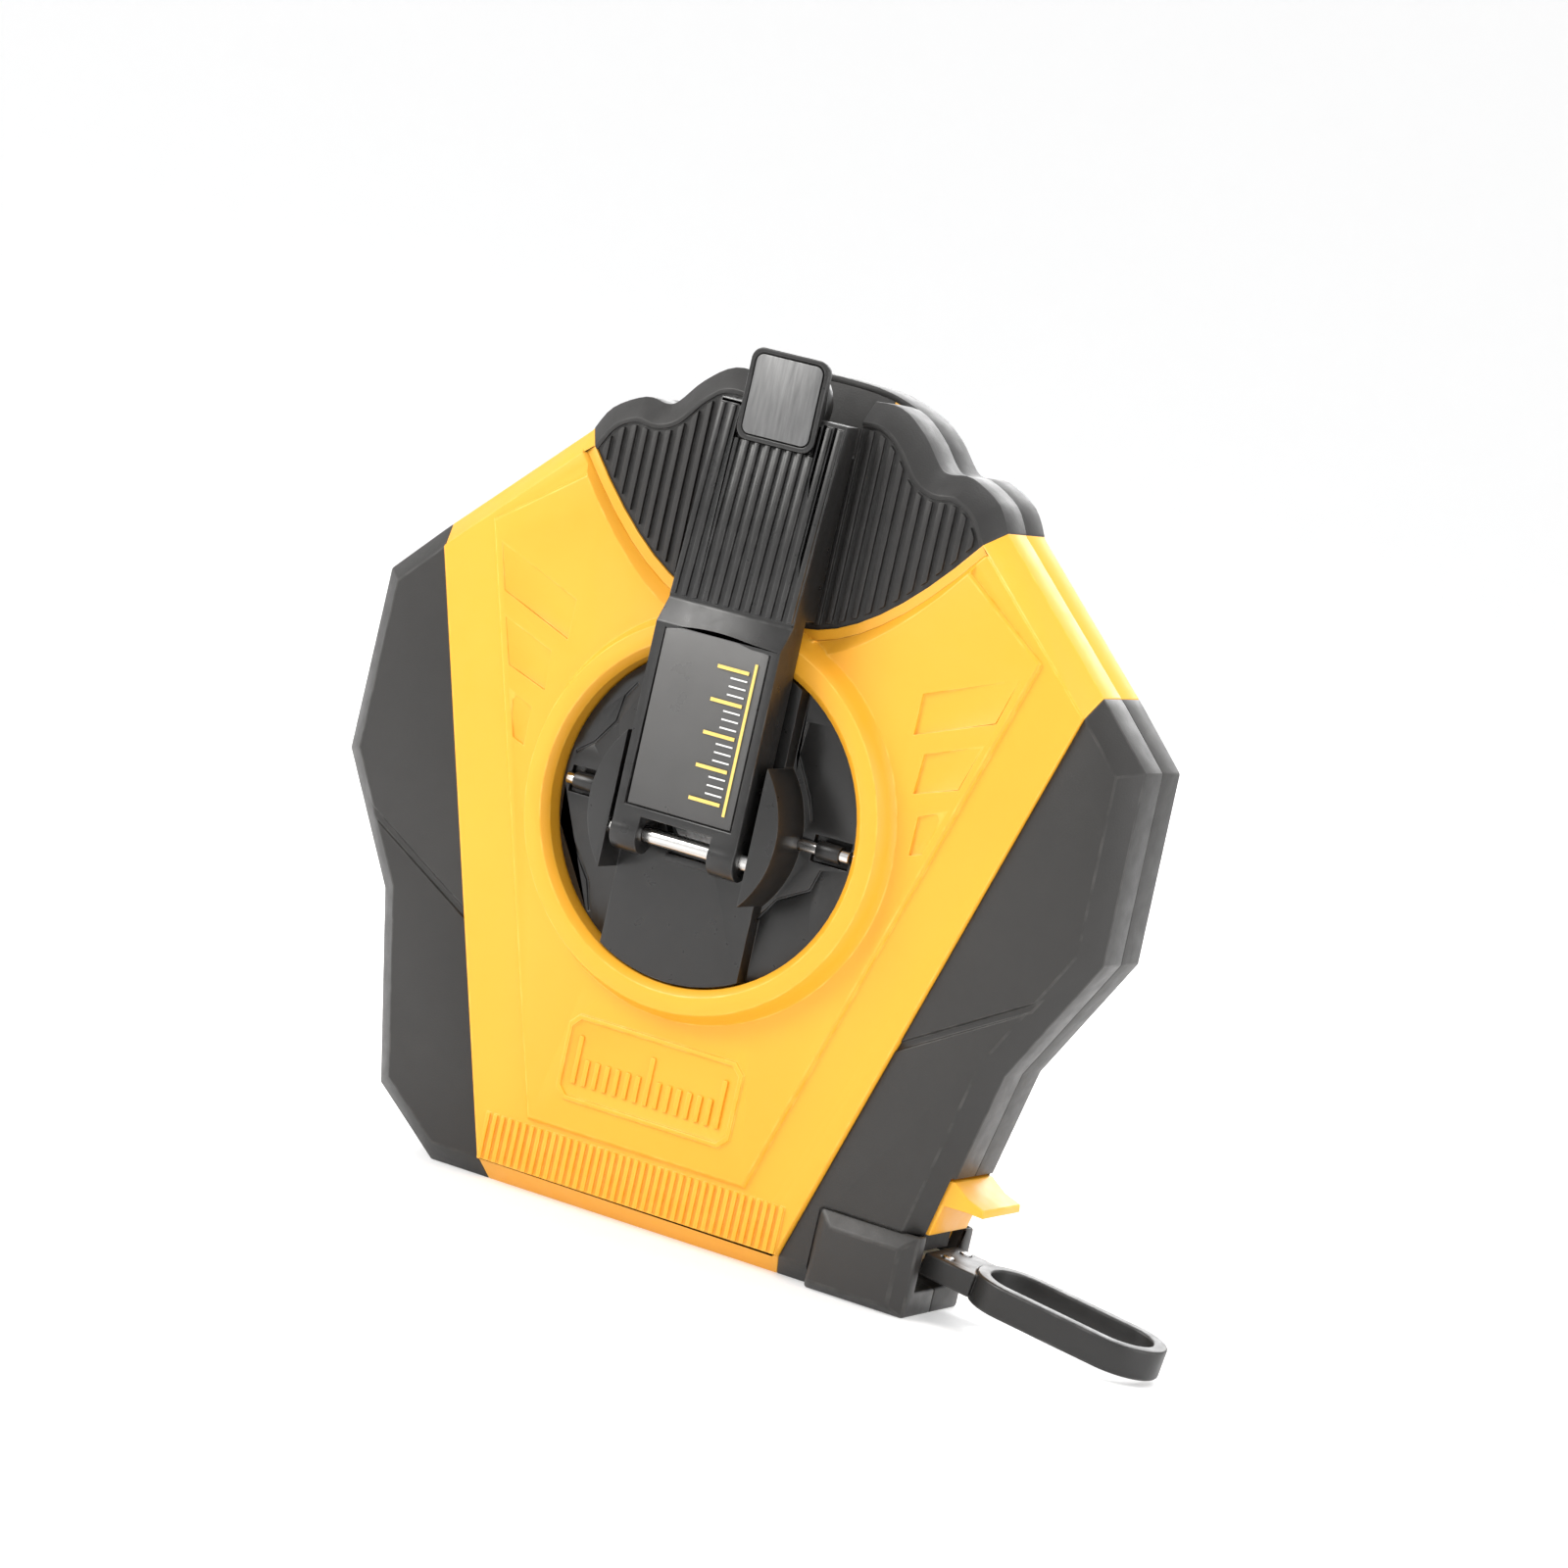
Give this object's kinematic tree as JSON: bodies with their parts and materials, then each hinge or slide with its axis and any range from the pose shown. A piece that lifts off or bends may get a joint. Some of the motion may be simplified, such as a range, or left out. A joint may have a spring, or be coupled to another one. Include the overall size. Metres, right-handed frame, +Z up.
{
  "type": "surveyor tape reel",
  "caption": "Closed-case long measuring tape with a fold-away winding crank, geared spool, thumb brake and end hook.",
  "frame": {"origin": "centre of the flat base, under the hub axis and midway between the two faces", "axes": "+Z up, -Y towards the crank side, +X towards the tape mouth"},
  "size_m": [0.1942, 0.0431, 0.1723],
  "materials": {
    "yellow_plastic": "satin",
    "black_plastic": "satin",
    "black_rubber": "matte",
    "steel": "satin",
    "bright_steel": "polished",
    "gear_plastic": "satin",
    "spool_plastic": "satin",
    "tape": "satin",
    "label_film": "satin",
    "satin_metal": "satin",
    "brake_rubber": "matte"
  },
  "bodies": {
    "case": {"front_shell": "yellow_plastic", "back_shell": "yellow_plastic", "front_left_skin": "black_plastic", "front_right_skin": "black_plastic", "back_left_skin": "black_plastic", "back_right_skin": "black_plastic", "front_grip": "black_rubber", "back_grip": "black_rubber", "front_nose": "black_plastic", "back_nose": "black_plastic", "case_screws": "steel", "axle": "steel", "axle_screw": "steel", "hub_clip": "steel", "ring_gear": "gear_plastic", "ring_gear_screws": "steel", "lever_pin": "steel", "lever_spring": "steel", "roller_pin": "steel"},
    "crank_hub": {"crank_hub": "black_plastic", "hinge_pin": "bright_steel", "latch_pins": "bright_steel", "latch_sleeves": "black_plastic", "planet_pins": "steel"},
    "planet_1": {"planet_gear_1": "gear_plastic"},
    "planet_2": {"planet_gear_2": "gear_plastic"},
    "planet_3": {"planet_gear_3": "gear_plastic"},
    "spool": {"spool_core": "spool_plastic", "spool_flange": "spool_plastic", "tape_roll": "tape"},
    "arm": {"crank_arm": "black_plastic", "label_plate": "label_film", "end_cap": "black_plastic", "cap_pad": "satin_metal", "knob_pin": "steel"},
    "knob": {"knob": "black_plastic"},
    "lever": {"brake_lever": "yellow_plastic", "brake_shoe": "brake_rubber"},
    "roller": {"mouth_roller": "gear_plastic"},
    "tape_end": {"tape_end": "tape", "hook": "black_plastic", "hook_rivets": "steel"}
  },
  "joints": [
    {"name": "crank_spin", "type": "hinge", "parent": "case", "child": "crank_hub", "pos_m": [0, 0, 0.082], "axis": [0, 1, 0], "continuous": true},
    {"name": "arm_fold", "type": "hinge", "parent": "crank_hub", "child": "arm", "pos_m": [0, -0.02325, 0.0768], "axis": [1, 0, 0], "range_deg": [0, 180]},
    {"name": "knob_spin", "type": "hinge", "parent": "arm", "child": "knob", "pos_m": [0, -0.0165, 0.1634], "axis": [0, 1, 0], "continuous": true},
    {"name": "spool_spin", "type": "hinge", "parent": "case", "child": "spool", "pos_m": [0, 0, 0.082], "axis": [0, 1, 0], "continuous": true},
    {"name": "planet_1_spin", "type": "hinge", "parent": "crank_hub", "child": "planet_1", "pos_m": [0, 0, 0.1], "axis": [0, 1, 0], "continuous": true},
    {"name": "planet_2_spin", "type": "hinge", "parent": "crank_hub", "child": "planet_2", "pos_m": [-0.01559, 0, 0.073], "axis": [0, 1, 0], "continuous": true},
    {"name": "planet_3_spin", "type": "hinge", "parent": "crank_hub", "child": "planet_3", "pos_m": [0.01559, 0, 0.073], "axis": [0, 1, 0], "continuous": true},
    {"name": "lever_press", "type": "hinge", "parent": "case", "child": "lever", "pos_m": [0.0518, 0, 0.0202], "axis": [0, 1, 0], "range_deg": [0, 8], "stiffness_Nm_per_rad": 0.15, "springref_deg": -11.46},
    {"name": "roller_spin", "type": "hinge", "parent": "case", "child": "roller", "pos_m": [0.054, 0, 0.00857], "axis": [0, 1, 0], "continuous": true},
    {"name": "tape_pull", "type": "slide", "parent": "case", "child": "tape_end", "axis": [0.9914, 0, -0.1305], "range_m": [0, 0.03]}
  ],
  "couplings": [
    {"joint": "spool_spin", "follows": "crank_spin", "ratio": 3},
    {"joint": "planet_1_spin", "follows": "crank_spin", "ratio": -4},
    {"joint": "planet_2_spin", "follows": "crank_spin", "ratio": -4},
    {"joint": "planet_3_spin", "follows": "crank_spin", "ratio": -4}
  ]
}
